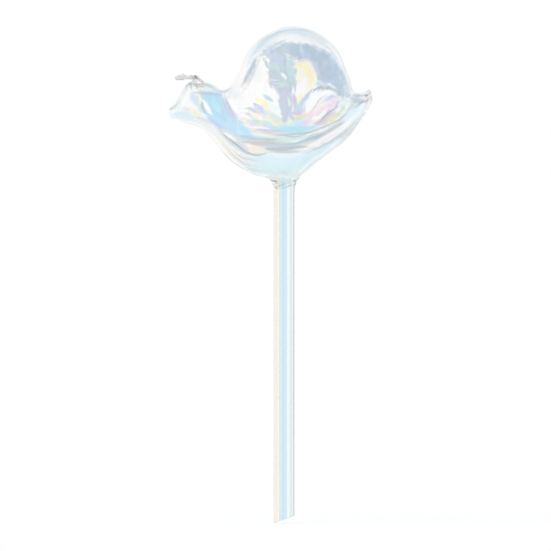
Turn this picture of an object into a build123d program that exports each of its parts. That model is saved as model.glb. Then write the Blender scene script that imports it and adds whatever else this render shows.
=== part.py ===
from build123d import *
import os
from math import cos, radians, sin, tan

# Snail-shaped watering globe in lamp-blown glass. The hollow snail is filled through its stem, turned over and
# pushed into soil. Sizes are in millimetres. The stem stands along +Z with the lowest point of its cut tip at
# z = 0, the snail looks along -X and its tail is at +X.

# Drip stem
stem_diameter = 10.0
stem_wall = 1.2
stem_length = 158.4
tip_slant = 20.0  # degrees from a square cut

# Collar flared from the stem to the belly
collar_height = 5.8
collar_flare = 3.6  # how far the collar spreads beyond the stem
collar_grip = 2.8  # how far the collar runs up around the belly

# Walls of the two blown bubbles
body_wall = 1.3
dome_wall = 1.2

# Shell dome, an egg-shaped bubble: heights above the neck, and radius from its own upright axis
dome_offset = 4.4
dome_top = 72.5
dome_waist = 38.0
dome_bottom = 14.5
dome_radius = 28.5

# Snail body, with reaches from the stem axis and heights above the neck
snout_reach = 53.2
snout_height = 31.65
snout_radius = 2.65
crown_height = 46.3
body_half_width = 25.8
tail_reach = 38.4
tail_low = 30.3
tail_high = 42.2
tail_half_width = 5.2

# Solid glass ends of the snout and of the tail
snout_nib_length = 2.0
tail_nib_length = 3.55
tail_nib_drop = 0.5  # how far the middle of the nib's end lies below the top of the tail
tail_nib_radius = 1.57
tail_nib_lean = 17.0  # degrees that the nib's end looks up

# Feelers, two bent glass rods on the crown
feeler_root_radius = 1.35
feeler_tip_radius = 1.1
feeler_rise = 2.2
feeler_droop = 0.9
feeler_length = 13.4
feeler_root_spread = 2.8
feeler_tip_spread = 5.6

neck_z = stem_length + collar_height
stem_radius = stem_diameter / 2
bore_radius = stem_radius - stem_wall


# Lines of the body

def along(part):
    """A place along the body, where -1 is the snout, 0 the stem axis and 1 the tail."""
    return part * (snout_reach if part < 0 else tail_reach)


# Points of the guide lines: a place along the body and a part of the crown height or of the half width
back_points = [
    (-0.944, 0.838), (-0.872, 0.972), (-0.77, 1.0), (-0.648, 0.972), (-0.534, 0.914), (-0.414, 1.028),
    (-0.226, 1.10), (0.21, 1.06), (0.68, 0.942), (0.87, 0.896),
]
belly_points = [
    (-0.874, 0.568), (-0.742, 0.514), (-0.658, 0.423), (-0.545, 0.261), (-0.35, 0.086), (-0.141, 0.004),
    (0.0, 0.0), (0.18, 0.02), (0.41, 0.168), (0.682, 0.337), (0.867, 0.495),
]
side_points = [
    (-0.93, 0.23), (-0.846, 0.336), (-0.733, 0.393), (-0.60, 0.405), (-0.45, 0.466), (-0.36, 0.565),
    (-0.226, 0.77), (-0.1, 0.916), (0.1, 1.0), (0.3, 0.992), (0.57, 0.847), (0.755, 0.622), (0.885, 0.39),
]


def guide(start, points, scale, end):
    """A smooth line from the snout, through points along the body, to the tail."""
    with BuildLine() as line:
        Spline(
            (-snout_reach, start),
            *[(along(part), scale * height) for part, height in points],
            (tail_reach, end),
        )
    return line.edge()


back_line = guide(snout_height + snout_radius, back_points, crown_height, tail_high)
belly_line = guide(snout_height - snout_radius, belly_points, crown_height, tail_low)
side_line = guide(snout_radius, side_points, body_half_width, tail_half_width)


def crossing(line, x):
    """Where a guide line is at x, and how much longer a cut through the wall is there than a square one."""
    point = line.find_intersection_points(Axis((x, 0, 0), (0, 1, 0)))[0]
    return point.Y, 1 / abs(line.tangent_at(line.param_at_point(point)).X)


def body_section(part, wall=0.0):
    """An oval slice across the body, taken in by the wall."""
    high, back_stretch = crossing(back_line, along(part))
    low, belly_stretch = crossing(belly_line, along(part))
    half_width, side_stretch = crossing(side_line, along(part))
    high -= wall * back_stretch
    low += wall * belly_stretch
    with BuildSketch(Plane.YZ.offset(along(part))) as section:
        with Locations((0, neck_z + (high + low) / 2)):
            Ellipse(half_width - wall * side_stretch, (high - low) / 2)
    return section.sketch


# Outer and inner forms of the two bubbles, from which the blown walls are cut
middle_slices = [-0.944, -0.872, -0.77, -0.648, -0.534, -0.376, -0.169, 0.078, 0.39, 0.68, 0.87]

with BuildPart() as body_form:
    loft([body_section(part) for part in [-1, *middle_slices, 1]])

with BuildPart() as body_hollow:
    loft([body_section(part, body_wall) for part in [-0.985, *middle_slices, 0.95]])


def dome_bubble(wall):
    """The bubble of the dome, taken in by the wall."""
    upper = dome_top - dome_waist
    lower = dome_waist - dome_bottom
    with BuildLine(mode=Mode.PRIVATE):
        outline = Spline(
            (0, dome_top),
            (0.35 * dome_radius, dome_top - 0.065 * upper),
            (0.583 * dome_radius, dome_top - 0.192 * upper),
            (0.765 * dome_radius, dome_top - 0.355 * upper),
            (0.878 * dome_radius, dome_top - 0.58 * upper),
            (0.94 * dome_radius, dome_top - 0.72 * upper),
            (0.982 * dome_radius, dome_top - 0.85 * upper),
            (dome_radius, dome_waist),
            (0.986 * dome_radius, dome_waist - 0.3 * lower),
            (0.915 * dome_radius, dome_waist - 0.6 * lower),
            (0.66 * dome_radius, dome_waist - 0.88 * lower),
            (0, dome_bottom),
            tangents=[(1, 0), (-1, 0)],
        )
    steps = [step / 16 for step in range(17)]
    inset = [outline @ step + wall * Vector((outline % step).Y, -(outline % step).X) for step in steps]
    with BuildPart() as bubble:
        with BuildSketch(Plane((dome_offset, 0, neck_z), x_dir=(1, 0, 0), z_dir=(0, -1, 0))):
            with BuildLine():
                profile = Spline(*inset, tangents=[(1, 0), (-1, 0)])
                Line(profile @ 1, profile @ 0)
            make_face()
        revolve(axis=Axis((dome_offset, 0, 0), (0, 0, 1)))
    return bubble.part


dome_form = dome_bubble(0)
dome_hollow = dome_bubble(dome_wall)

# Drip stem: a plain tube whose tip is cut at a slant
with BuildPart() as stem_tube:
    with BuildSketch():
        Circle(stem_radius)
        Circle(bore_radius, mode=Mode.SUBTRACT)
    extrude(amount=stem_length)
    with BuildSketch(Plane.XZ):
        with BuildLine():
            rise = stem_radius * tan(radians(tip_slant))
            Polyline((-2 * stem_radius, -rise), (2 * stem_radius, -rise), (2 * stem_radius, 3 * rise), close=True)
        make_face()
    extrude(amount=stem_diameter, both=True, mode=Mode.SUBTRACT)

# Neck collar: the stem's end flared out and run onto the belly
with BuildPart() as neck_collar:
    with BuildSketch(Plane.XZ):
        with BuildLine():
            foot = (stem_radius, stem_length)
            rim = stem_radius + collar_flare
            flare = Spline(
                foot,
                (stem_radius + 0.07 * collar_flare, stem_length + 0.38 * collar_height),
                (stem_radius + 0.17 * collar_flare, stem_length + 0.66 * collar_height),
                (stem_radius + 0.36 * collar_flare, neck_z - 0.12 * collar_height),
                (rim, neck_z + 0.68 * collar_grip),
            )
            Polyline(
                flare @ 1,
                (rim, neck_z + collar_grip),
                (bore_radius, neck_z + collar_grip),
                (bore_radius, stem_length),
                foot,
            )
        make_face()
    revolve(axis=Axis.Z)
    add(body_form.part, mode=Mode.SUBTRACT)

# Snail body: a blown shell, open to the dome above and to the collar below
with BuildPart() as snail_body:
    add(body_form.part)
    add(body_hollow.part, mode=Mode.SUBTRACT)
    add(dome_hollow, mode=Mode.SUBTRACT)
    with BuildSketch(Plane.XY.offset(stem_length)):
        Circle(bore_radius)
    extrude(amount=collar_height + crown_height / 2, mode=Mode.SUBTRACT)

# Shell dome: a blown bubble that is open where it sits on the body
with BuildPart() as shell_dome:
    add(dome_form)
    add(dome_hollow, mode=Mode.SUBTRACT)
    add(body_form.part, mode=Mode.SUBTRACT)

# Snout nib: a rounded bead of glass
with BuildPart() as snout_nib:
    with BuildSketch(Plane.XZ):
        with BuildLine():
            middle = Vector(-snout_reach, neck_z + snout_height)
            round_end = Spline(
                middle + Vector(0, snout_radius),
                middle - Vector(snout_nib_length, 0),
                tangents=[(-1, -0.5), (0, -1)],
            )
            Polyline(round_end @ 1, middle, round_end @ 0)
        make_face()
    revolve(axis=Axis((0, 0, neck_z + snout_height), (1, 0, 0)))

# Tail nib: a pulled point that turns up and ends in a snapped face
nib_root = Vector(tail_reach, 0, neck_z + (tail_low + tail_high) / 2)
nib_end = Vector(tail_reach + tail_nib_length, 0, neck_z + tail_high - tail_nib_drop)
nib_bend = Vector(nib_root.X + 0.37 * tail_nib_length, 0, 0.44 * nib_root.Z + 0.56 * nib_end.Z)
nib_looks = Vector(cos(radians(tail_nib_lean)), 0, sin(radians(tail_nib_lean)))
with BuildPart() as tail_nib:
    with BuildSketch(Plane(nib_root, x_dir=(0, 1, 0), z_dir=(1, 0, 0))):
        Ellipse(tail_half_width, (tail_high - tail_low) / 2)
    with BuildSketch(Plane(nib_bend, x_dir=(0, 1, 0), z_dir=nib_looks)):
        Circle(0.47 * (tail_half_width + tail_nib_radius))
    with BuildSketch(Plane(nib_end, x_dir=(0, 1, 0), z_dir=nib_looks)):
        Circle(tail_nib_radius)
    loft()

# Feelers: a bent rod with a rounded tip, and its mirror image
feeler_x = along(-0.72)
crown_z = neck_z + crown_height
with BuildPart() as left_feeler:
    with BuildLine() as feeler_path:
        Spline(
            (feeler_x, -feeler_root_spread, crown_z - 1.2 * feeler_rise),
            (feeler_x - 0.27 * feeler_length, -feeler_root_spread - 0.9, crown_z + 0.55 * feeler_rise),
            (feeler_x - 0.54 * feeler_length, -feeler_root_spread - 1.9, crown_z + feeler_rise),
            (feeler_x - feeler_length, -feeler_tip_spread, crown_z + feeler_rise - feeler_droop),
        )
    with BuildSketch(feeler_path.line ^ 0):
        Circle(feeler_root_radius)
    with BuildSketch(feeler_path.line ^ 1):
        Circle(feeler_tip_radius)
    sweep(multisection=True)
    with Locations(feeler_path.line @ 1):
        Sphere(feeler_tip_radius)
    add(body_form.part, mode=Mode.SUBTRACT)

with BuildPart() as right_feeler:
    add(left_feeler.part)
    mirror(about=Plane.XZ, mode=Mode.REPLACE)

os.makedirs("parts", exist_ok=True)
pieces = {
    "stem_tube": stem_tube,
    "neck_collar": neck_collar,
    "snail_body": snail_body,
    "shell_dome": shell_dome,
    "snout_nib": snout_nib,
    "tail_nib": tail_nib,
    "left_feeler": left_feeler,
    "right_feeler": right_feeler,
}
for label, piece in pieces.items():
    piece.part.label = label
    export_step(piece.part, f"parts/{label}.step")
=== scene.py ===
from math import radians, tan

import bmesh
import bpy
import numpy as np
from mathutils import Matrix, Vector


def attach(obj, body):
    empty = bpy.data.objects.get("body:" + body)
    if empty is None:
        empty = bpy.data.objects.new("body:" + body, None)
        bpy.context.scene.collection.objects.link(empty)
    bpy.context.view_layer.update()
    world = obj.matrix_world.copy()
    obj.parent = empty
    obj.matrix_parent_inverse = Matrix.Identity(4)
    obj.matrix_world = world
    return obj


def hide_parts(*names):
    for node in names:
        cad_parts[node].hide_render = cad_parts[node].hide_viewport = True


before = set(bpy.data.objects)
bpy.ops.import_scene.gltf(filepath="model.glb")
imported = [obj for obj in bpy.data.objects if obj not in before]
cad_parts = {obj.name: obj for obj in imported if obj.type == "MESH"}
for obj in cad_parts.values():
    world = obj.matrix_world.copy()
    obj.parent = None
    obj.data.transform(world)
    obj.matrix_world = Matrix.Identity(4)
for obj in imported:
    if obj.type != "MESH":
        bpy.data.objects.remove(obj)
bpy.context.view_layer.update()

# Iridescent glass watering globe in the form of a snail. Lengths are in millimetres, and heights of the snail
# are above the neck. Meshes are turned into metres as they are made.
MM = 0.001
scene = bpy.context.scene

# Sizes of the part, as in its CAD source
STEM_RADIUS = 5.0
BORE_RADIUS = 3.8
STEM_LENGTH = 158.4
TIP_SLANT = 20.0
COLLAR_HEIGHT = 5.8
NECK_Z = STEM_LENGTH + COLLAR_HEIGHT
BODY_WALL = 1.3
DOME_WALL = 1.2
SNOUT_REACH = 53.2
TAIL_REACH = 38.4
DOME_OFFSET = 4.4
DOME_WAIST = 38.0

# Lines of the body from snout to tail: places along X with heights of the back and belly, and half widths
BACK = [
    (-53.2, 34.3), (-50.2, 38.8), (-46.4, 45), (-41, 46.3), (-34.5, 45), (-28.4, 42.3), (-22, 47.6),
    (-12, 50.9), (8.1, 49.1), (26.1, 43.4), (32.6, 40.8), (35.6, 40.5), (38.4, 41.2), (40.6, 42.6),
    (43, 44.6),
]
BELLY = [
    (-53.2, 29), (-46.5, 26.3), (-39.5, 23.8), (-35, 19.6), (-29, 12.1), (-18.6, 4), (-7.5, 0.2),
    (0, 0), (6.9, 0.9), (15.7, 7.8), (26.2, 15.6), (33.3, 22.9), (38.4, 30.3), (40.4, 33.6), (43, 40.2),
]
SIDE = [
    (-53.2, 2.65), (-49.5, 5.9), (-45, 8.7), (-39, 10.1), (-31.9, 10.4), (-23.9, 12), (-19.2, 14.6),
    (-12, 19.9), (-5.3, 23.6), (3.8, 25.8), (11.5, 25.6), (21.9, 21.9), (29, 16), (34, 10.1),
    (38.4, 5.2), (40.4, 3.1), (43, 1.2),
]

# Outline of the dome, from its top to its bottom: radius from its own upright axis, and height
DOME = [
    (0, 72.35), (10, 70.1), (16.6, 65.7), (21.8, 60.1), (25, 52.4), (26.8, 47.6), (27.9, 43.2),
    (28.3, 38), (28, 31), (26.1, 23.9), (18.8, 17.3), (0, 14.5),
]

# Feelers: the middle line of the right one, radii from root to tip, and marks of hot working
FEELER = [
    (-38.4, 2.6, 42.6), (-40.6, 3.1, 46), (-43.2, 3.8, 47.9), (-45.8, 4.5, 48.1), (-48.4, 5.1, 48.3),
    (-51.2, 5.6, 47.7),
]
FEELER_RADII = (2.0, 2.2, 1.75, 1.45, 0.9, 0.8, 1.25, 1.3, 0.8)
ROD_STEPS = 25  # straight steps that a rod is made of
TWIST_DEPTH, TWIST_LENGTH = 0.15, 1.9
TWIST_END, TWIST_FADE = -46.5, 3.0  # along X
LUMP_DEPTH, LUMP_LENGTHS = 0.18, (2.9, 3.3)

# Ends of the body: the plane that ends the tail, and the bead that closes the snout
TAIL_END = np.array([41.1, 0.0, 41.6])
TAIL_LOOKS = np.array([0.966, 0.0, 0.259])
SNOUT = np.array([-53.0, 0.0, 31.65])
SNOUT_RADIUS = 2.55
SNOUT_SQUEEZE = (1.2, 1, 1)
SNOUT_WALL = 0.6
THINNER_FROM, THINNER_OVER = -44.0, 8.0  # where the body's wall thins towards the snout, along X
HOLLOW_END = 41.0  # where the hollow of the tail ends

# Collar: its flare, how fast that fades below the belly, and how much of the lower edge stays plain
FLARE, FLARE_FADE, FLARE_PLAIN, FLARE_RAMP = 2.0, 2.6, 0.6, 2.0
RIPPLE_DEPTH, RIPPLE_LENGTH = 0.2, 1.9
RIPPLE_MIDDLE, RIPPLE_REACH, RIPPLE_RADIUS = -2.2, 2.4, 9.0
STEM_TOP = 6.0  # height at which the stem's form ends inside the belly

# How far the inside corner of each seam is rounded. The dome's seam is rounder towards the head.
DOME_SEAM, DOME_SEAM_FRONT = 2.6, 0.8
FRONT_FROM, FRONT_OVER = 4.0, 30.0  # along X
COLLAR_SEAM = 2.0
SNOUT_SEAM = 2.0
FEELER_SEAM = 0.8
HOLLOW_COLLAR_SEAM = 3.0
HOLLOW_SNOUT_SEAM = 1.0
HOLLOW_TAIL_SEAM = 3.0

WAVES = [(13.0, 0.08), (9.0, 0.06), (11.0, 0.07), (6.5, 0.03), (7.5, 0.04)]  # length and depth

# Grid that the glass is drawn on: its box and spacing, and where along each axis it is finer
GRID_LOW, GRID_HIGH = (-58.0, -31.0, -COLLAR_HEIGHT), (46.0, 31.0, 75.0)
CELL = 0.8
FINE_CELL = 0.45
FINE_STRETCHES = [[(-58.0, -37.0), (35.0, 46.0)], [(-9.0, 9.0)], [(-8.0, 2.0), (42.0, 52.0)]]
FAR = 50.0  # stands for any large distance
TINY = 1e-3  # keeps divisors away from zero


# Forms of the glass, as signed distances

def curve(points):
    """A smooth line through (x, value) points, as a function of x."""
    xs, ys = np.array(points, float).T
    gaps = np.diff(xs)
    slopes = np.diff(ys) / gaps
    matrix, bends = np.eye(len(xs)), np.zeros(len(xs))
    for i in range(1, len(xs) - 1):
        matrix[i, i - 1:i + 2] = gaps[i - 1], 2 * (gaps[i - 1] + gaps[i]), gaps[i]
        bends[i] = 6 * (slopes[i] - slopes[i - 1])
    bends = np.linalg.solve(matrix, bends)

    def value(x):
        x = np.clip(x, xs[0], xs[-1])
        i = np.clip(np.searchsorted(xs, x) - 1, 0, len(xs) - 2)
        gap, t = gaps[i], x - xs[i]
        return (
            ys[i]
            + t * (slopes[i] - gap * (2 * bends[i] + bends[i + 1]) / 6)
            + t**2 * bends[i] / 2
            + t**3 * (bends[i + 1] - bends[i]) / (6 * gap)
        )

    return value


back, belly, side = curve(BACK), curve(BELLY), curve(SIDE)


def dome_polar():
    """The dome's outline as a distance from the middle of its waist, by the angle above the waist."""
    radius, height = np.array(DOME).T
    height = height - DOME_WAIST
    angles, reach = np.arctan2(height, radius), np.hypot(radius, height)
    over_top = [(np.pi - angles[1], reach[1])]
    under = [(-np.pi - angles[-2], reach[-2])]
    line = over_top + list(zip(angles, reach)) + under
    return curve(line[::-1])


dome_reach = dome_polar()


def body_distance(p):
    """Distance from the body's outside, from its oval slices and how they change along the body."""
    x, y, h = p[..., 0], p[..., 1], p[..., 2]

    def oval(x):
        high, low = back(x), belly(x)
        return y / side(x), (2 * h - high - low) / (high - low), (high - low) / 2

    step = 0.1
    across, up, half = oval(x)
    here = np.maximum(np.hypot(across, up), TINY)
    ahead = np.hypot(*oval(x + step)[:2])
    change = np.sqrt((across / side(x)) ** 2 + (up / half) ** 2 + (here * (ahead - here) / step) ** 2) / here
    skin = (here - 1) / np.maximum(change, TINY)
    return np.maximum(skin, np.maximum(-SNOUT_REACH - x, (p - TAIL_END) @ TAIL_LOOKS))


def dome_distance(p):
    """Distance from the dome's outside, from its outline turned about its own upright axis."""
    out = np.hypot(p[..., 0] - DOME_OFFSET, p[..., 1])
    up = p[..., 2] - DOME_WAIST
    reach, angle = np.hypot(out, up), np.arctan2(up, out)
    edge, step = dome_reach(angle), 0.01
    turn = (dome_reach(angle + step) - edge) / step
    return (reach - edge) / np.hypot(1, turn / np.maximum(reach, 1))


def stem_distance(p, radius):
    """A round stem along the axis that ends inside the belly."""
    return np.maximum(np.hypot(p[..., 0], p[..., 1]) - radius, p[..., 2] - STEM_TOP)


def rod_distance(p, line, radii):
    """A rod that tapers along a smooth line."""
    line = np.array(line, float)
    ends = np.linspace(0, 1, len(line))
    t = np.linspace(0, 1, ROD_STEPS)
    path = np.stack([curve(list(zip(ends, line[:, i])))(t) for i in range(3)], -1)
    thick = np.interp(t, np.linspace(0, 1, len(radii)), radii)
    best = np.full(p.shape[:-1], FAR)
    for a, b, ra, rb in zip(path[:-1], path[1:], thick[:-1], thick[1:]):
        run = b - a
        part = np.clip((p - a) @ run / (run @ run), 0, 1)
        off = np.linalg.norm(p - a - part[..., None] * run, axis=-1)
        best = np.minimum(best, off - ra - part * (rb - ra))
    return best


def mirrored(line):
    return [(x, -y, h) for x, y, h in line]


def blend(a, b, size):
    """Two forms joined with a rounded inside corner."""
    mix = np.clip(0.5 + 0.5 * (b - a) / size, 0, 1)
    return b + (a - b) * mix - size * mix * (1 - mix)


def near(p, low, high, distance):
    """A distance worked out only inside a box, and large elsewhere."""
    result = np.full(p.shape[:-1], FAR)
    within = np.all((p > low) & (p < high), axis=-1)
    result[within] = distance(p[within])
    return result


HEAD_BOX = (np.array([-60.0, -12.0, 36.0]), np.array([-30.0, 12.0, 54.0]))
SNOUT_BOX = (np.array([-60.0, -8.0, 24.0]), np.array([-46.0, 8.0, 40.0]))


def snout_distance(p):
    return np.linalg.norm((p - SNOUT) * SNOUT_SQUEEZE, axis=-1) - SNOUT_RADIUS


def ridges(p, way, length, shift=0.0):
    """Waves of a length along a way through space."""
    return np.sin(2 * np.pi * (p @ way) / length + shift)


def feeler_distance(p, line):
    """A lumpy feeler, with twisted ridges in the thick glass at its root."""
    root = np.clip((p[..., 0] - TWIST_END) / TWIST_FADE, 0, 1)
    twist = ridges(p, (0.74, 0.2, 0.64), TWIST_LENGTH) * root
    lumps = ridges(p, (0.8, 0.35, 0.5), LUMP_LENGTHS[0]) * ridges(p, (0.2, -0.6, 0.8), LUMP_LENGTHS[1], 1.0)
    return rod_distance(p, line, FEELER_RADII) + TWIST_DEPTH * twist + LUMP_DEPTH * lumps


def collar_flare(h):
    """How far the collar spreads beyond the stem, most where it meets the belly."""
    ramp = np.clip((h + COLLAR_HEIGHT - FLARE_PLAIN) / FLARE_RAMP, 0, 1)
    return FLARE * np.exp(np.minimum(h, 0) / FLARE_FADE) * ramp


def outer_pieces(p):
    """Distances to the outside of each named piece of glass."""
    return {
        "snail_body": body_distance(p),
        "shell_dome": dome_distance(p),
        "neck_collar": stem_distance(p, STEM_RADIUS + collar_flare(p[..., 2])),
        "snout_nib": near(p, *SNOUT_BOX, snout_distance),
        "left_feeler": near(p, *HEAD_BOX, lambda q: feeler_distance(q, mirrored(FEELER))),
        "right_feeler": near(p, *HEAD_BOX, lambda q: feeler_distance(q, FEELER)),
    }


def collar_ripples(p):
    """Twisted ridges in the hot-worked glass of the collar."""
    x, y, h = p[..., 0], p[..., 1], p[..., 2]
    turn = np.arctan2(y, x)
    shows = np.exp(-(((h - RIPPLE_MIDDLE) / RIPPLE_REACH) ** 4)) * (np.hypot(x, y) < RIPPLE_RADIUS)
    wander = 0.8 * np.sin(2 * turn + 1)
    return RIPPLE_DEPTH * shows * np.sin(2 * np.pi * (h - 0.35 * x) / RIPPLE_LENGTH + wander)


def waves(p):
    """Uneven thickness of the blown wall, from waves that cross at odd angles."""
    total = 0
    for i, (length, depth) in enumerate(WAVES):
        way = np.array([np.sin(2.4 * i + 0.5), np.cos(3.7 * i), np.sin(1.3 * i + 2.0)])
        total = total + depth * ridges(p, way / np.linalg.norm(way), length, 1.9 * i)
    return total


def body_with_dome(p, d):
    """The body and the dome joined along their seam."""
    front = np.clip((FRONT_FROM - p[..., 0]) / FRONT_OVER, 0, 1)
    return blend(d["snail_body"], d["shell_dome"], DOME_SEAM + DOME_SEAM_FRONT * front)


def outside(p):
    """Distance to the outside of the snail and the collar."""
    d = outer_pieces(p)
    skin = blend(body_with_dome(p, d) + waves(p), d["neck_collar"], COLLAR_SEAM) + collar_ripples(p)
    skin = blend(skin, d["snout_nib"], SNOUT_SEAM)
    for feeler in ("left_feeler", "right_feeler"):
        skin = blend(skin, d[feeler], FEELER_SEAM)
    return skin


def inner_pieces(p):
    """Distances to the hollow of each named piece that has one."""
    thinner = np.clip((THINNER_FROM - p[..., 0]) / THINNER_OVER, 0, 1)
    body_wall = BODY_WALL + (SNOUT_WALL - BODY_WALL) * thinner
    return {
        "snail_body": body_distance(p) + body_wall,
        "shell_dome": dome_distance(p) + DOME_WALL,
        "neck_collar": stem_distance(p, BORE_RADIUS),
    }


def inside(p):
    """Distance to the hollow of the snail and the collar."""
    d = inner_pieces(p)
    snout = near(p, *SNOUT_BOX, lambda q: snout_distance(q) + SNOUT_WALL)
    skin = blend(body_with_dome(p, d), snout, HOLLOW_SNOUT_SEAM)
    skin = -blend(-skin, HOLLOW_END - p[..., 0], HOLLOW_TAIL_SEAM)
    return blend(skin + waves(p), d["neck_collar"], HOLLOW_COLLAR_SEAM)


# Drawing a form as a mesh

def slope(form, p, step=0.02):
    """The way out of a form at points p, and the form's value there."""
    here = form(p)
    return np.stack([(form(p + axis) - here) / step for axis in np.eye(3) * step], -1), here


def grid_lines(low, high, fine):
    """Places from low to high, closer together in the fine stretches."""
    lines = [low]
    while lines[-1] < high:
        lines.append(lines[-1] + (FINE_CELL if any(a <= lines[-1] < b for a, b in fine) else CELL))
    return np.array(lines)


def join_corners(full):
    """Filled places that touch only across a corner are joined, so that no edge gets more than two faces."""
    joined = True
    while joined:
        joined = False
        for u, v in ((0, 1), (1, 2), (2, 0)):
            four = []
            for du, dv in np.ndindex(2, 2):
                part = [slice(None)] * 3
                part[u], part[v] = slice(du, full.shape[u] - 1 + du), slice(dv, full.shape[v] - 1 + dv)
                four.append(full[tuple(part)])
            a, b, c, d = four
            touching = (a & d & ~b & ~c) | (b & c & ~a & ~d)
            for corner in four:
                corner |= touching
            joined = joined or touching.any()


def draw(form, low, high):
    """Points and four-sided faces on the surface of a form inside a box, drawn on a grid of cells."""
    axes = [grid_lines(a, b, fine) for a, b, fine in zip(low, high, FINE_STRETCHES)]
    full = form(np.stack(np.meshgrid(*axes, indexing="ij"), -1)) < 0
    join_corners(full)
    size = np.array(full.shape) - 1
    count = np.zeros(size, int)
    for corner in np.ndindex(2, 2, 2):
        count += full[tuple(slice(c, c + n) for c, n in zip(corner, size))]
    cells = np.argwhere((count > 0) & (count < 8))
    index = np.full(count.shape, -1)
    index[tuple(cells.T)] = np.arange(len(cells))
    faces = []
    for axis in range(3):
        u, v = (axis + 1) % 3, (axis + 2) % 3
        here = [slice(1, -1)] * 3
        here[axis] = slice(0, -1)
        there = list(here)
        there[axis] = slice(1, None)
        start, end = full[tuple(here)], full[tuple(there)]
        for leaving in (True, False):
            edge = np.argwhere(start & ~end if leaving else ~start & end)
            corners = []
            for du, dv in ((1, 1), (0, 1), (0, 0), (1, 0)):
                cell = edge.copy()
                cell[:, u] += du
                cell[:, v] += dv
                corners.append(index[tuple(cell.T)])
            quad = np.stack(corners, -1)
            faces.append(quad if leaving else quad[:, ::-1])
    points = np.stack([(axes[i][cells[:, i]] + axes[i][cells[:, i] + 1]) / 2 for i in range(3)], -1)
    faces = np.concatenate(faces)
    return settle(form, points, faces, low[2]), faces


def settle(form, points, faces, floor):
    """Points spread evenly over the surface of a form, with its open lower edge kept level."""
    turns, even_turns, even_share = 6, (1, 2, 3), 0.6
    edge = points[:, 2] < floor + FINE_CELL
    pairs = np.concatenate([faces[:, [i, j]] for i, j in ((0, 1), (1, 2), (2, 3), (3, 0))])
    starts, ends = np.concatenate([pairs, pairs[:, ::-1]]).T
    times = np.bincount(starts, minlength=len(points))
    for turn in range(turns):
        if turn in even_turns:
            total = [np.bincount(starts, points[ends, i], len(points)) for i in range(3)]
            points = (1 - even_share) * points + even_share * np.stack(total, -1) / times[:, None]
        way, value = slope(form, points)
        points = points - (value / np.maximum((way**2).sum(-1), 1e-6))[:, None] * way
        points[edge, 2] = floor
    return points


def unit(vectors):
    return vectors / np.linalg.norm(vectors, axis=-1, keepdims=True)


def add_object(name, data):
    made = bpy.data.objects.new(name, data)
    scene.collection.objects.link(made)
    return made


# Parting the glass into the named pieces

GROWN = ["shell_dome", "neck_collar", "left_feeler", "right_feeler"]  # pieces that grow out of the body
PIECES = ["snail_body", *GROWN, "snout_nib", "tail_nib"]
SEAM_REACH = 2 * CELL  # how near to a seam its edges are looked for
SEAM_SNAP = 0.1  # points nearer than this count as on the seam


def levels(p, pieces):
    """Values that are below zero on each piece other than the body, and zero along its seam."""
    d = pieces(p)
    values = {name: d[name] - d["snail_body"] for name in GROWN if name in d}
    return values | {"snout_nib": p[..., 0] + SNOUT_REACH, "tail_nib": TAIL_REACH - p[..., 0]}


def part_skin(points, faces, pieces):
    """A skin cut along the seams of its pieces: its points, its faces and the piece that owns each face."""
    skin = bmesh.new()
    corners = [skin.verts.new(point) for point in points]
    for face in faces:
        skin.faces.new([corners[i] for i in face])
    for name, value in levels(points, pieces).items():
        at_seam = [corner for corner, part in zip(corners, np.abs(value)) if part < SEAM_REACH]
        parts = zip(corners, value.tolist())
        value = {corner: part if abs(part) > SEAM_SNAP else 0 for corner, part in parts}
        for edge in dict.fromkeys(edge for corner in at_seam for edge in corner.link_edges):
            a, b = edge.verts
            if value.get(a, 0) * value.get(b, 0) < 0:
                value[bmesh.utils.edge_split(edge, a, value[a] / (value[a] - value[b]))[1]] = 0
        for face in dict.fromkeys(face for corner in at_seam for face in corner.link_faces):
            on_seam = [corner for corner in face.verts if value.get(corner, 0) == 0]
            signs = {value[corner] > 0 for corner in face.verts if corner not in on_seam}
            if len(on_seam) == 2 and len(signs) == 2:
                bmesh.utils.face_split(face, *on_seam)
    skin.verts.index_update()
    points = np.array([corner.co for corner in skin.verts])
    faces = [[corner.index for corner in face.verts] for face in skin.faces]
    middle = np.array([face.calc_center_median() for face in skin.faces])
    skin.free()
    owner = np.full(len(faces), "snail_body", dtype=object)
    for name, value in levels(middle, pieces).items():
        owner[value < 0] = name
    return points, faces, owner


def sides(face):
    return zip(face, face[1:] + face[:1])


def rims(faces, owner):
    """Edge loops along the seam of each piece with the body, and along the open lower edge."""
    owners = {}
    for face, name in zip(faces, owner):
        for a, b in sides(face):
            owners.setdefault((min(a, b), max(a, b)), []).append(name)
    found = {}
    for (a, b), names in owners.items():
        if len(names) == 1 or names[0] != names[1]:
            key = "open" if len(names) == 1 else max(names, key=PIECES.index)
            for start, end in ((a, b), (b, a)):
                found.setdefault(key, {}).setdefault(start, []).append(end)
    loops = {}
    for key, ways in found.items():
        first = next(iter(ways))
        loop, here, before = [first], ways[first][0], first
        while here != first:
            loop.append(here)
            here, before = next(point for point in ways[here] if point != before), here
        assert len(loop) == len(ways), (key, len(loop), len(ways))
        loops[key] = loop
    return loops


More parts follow.
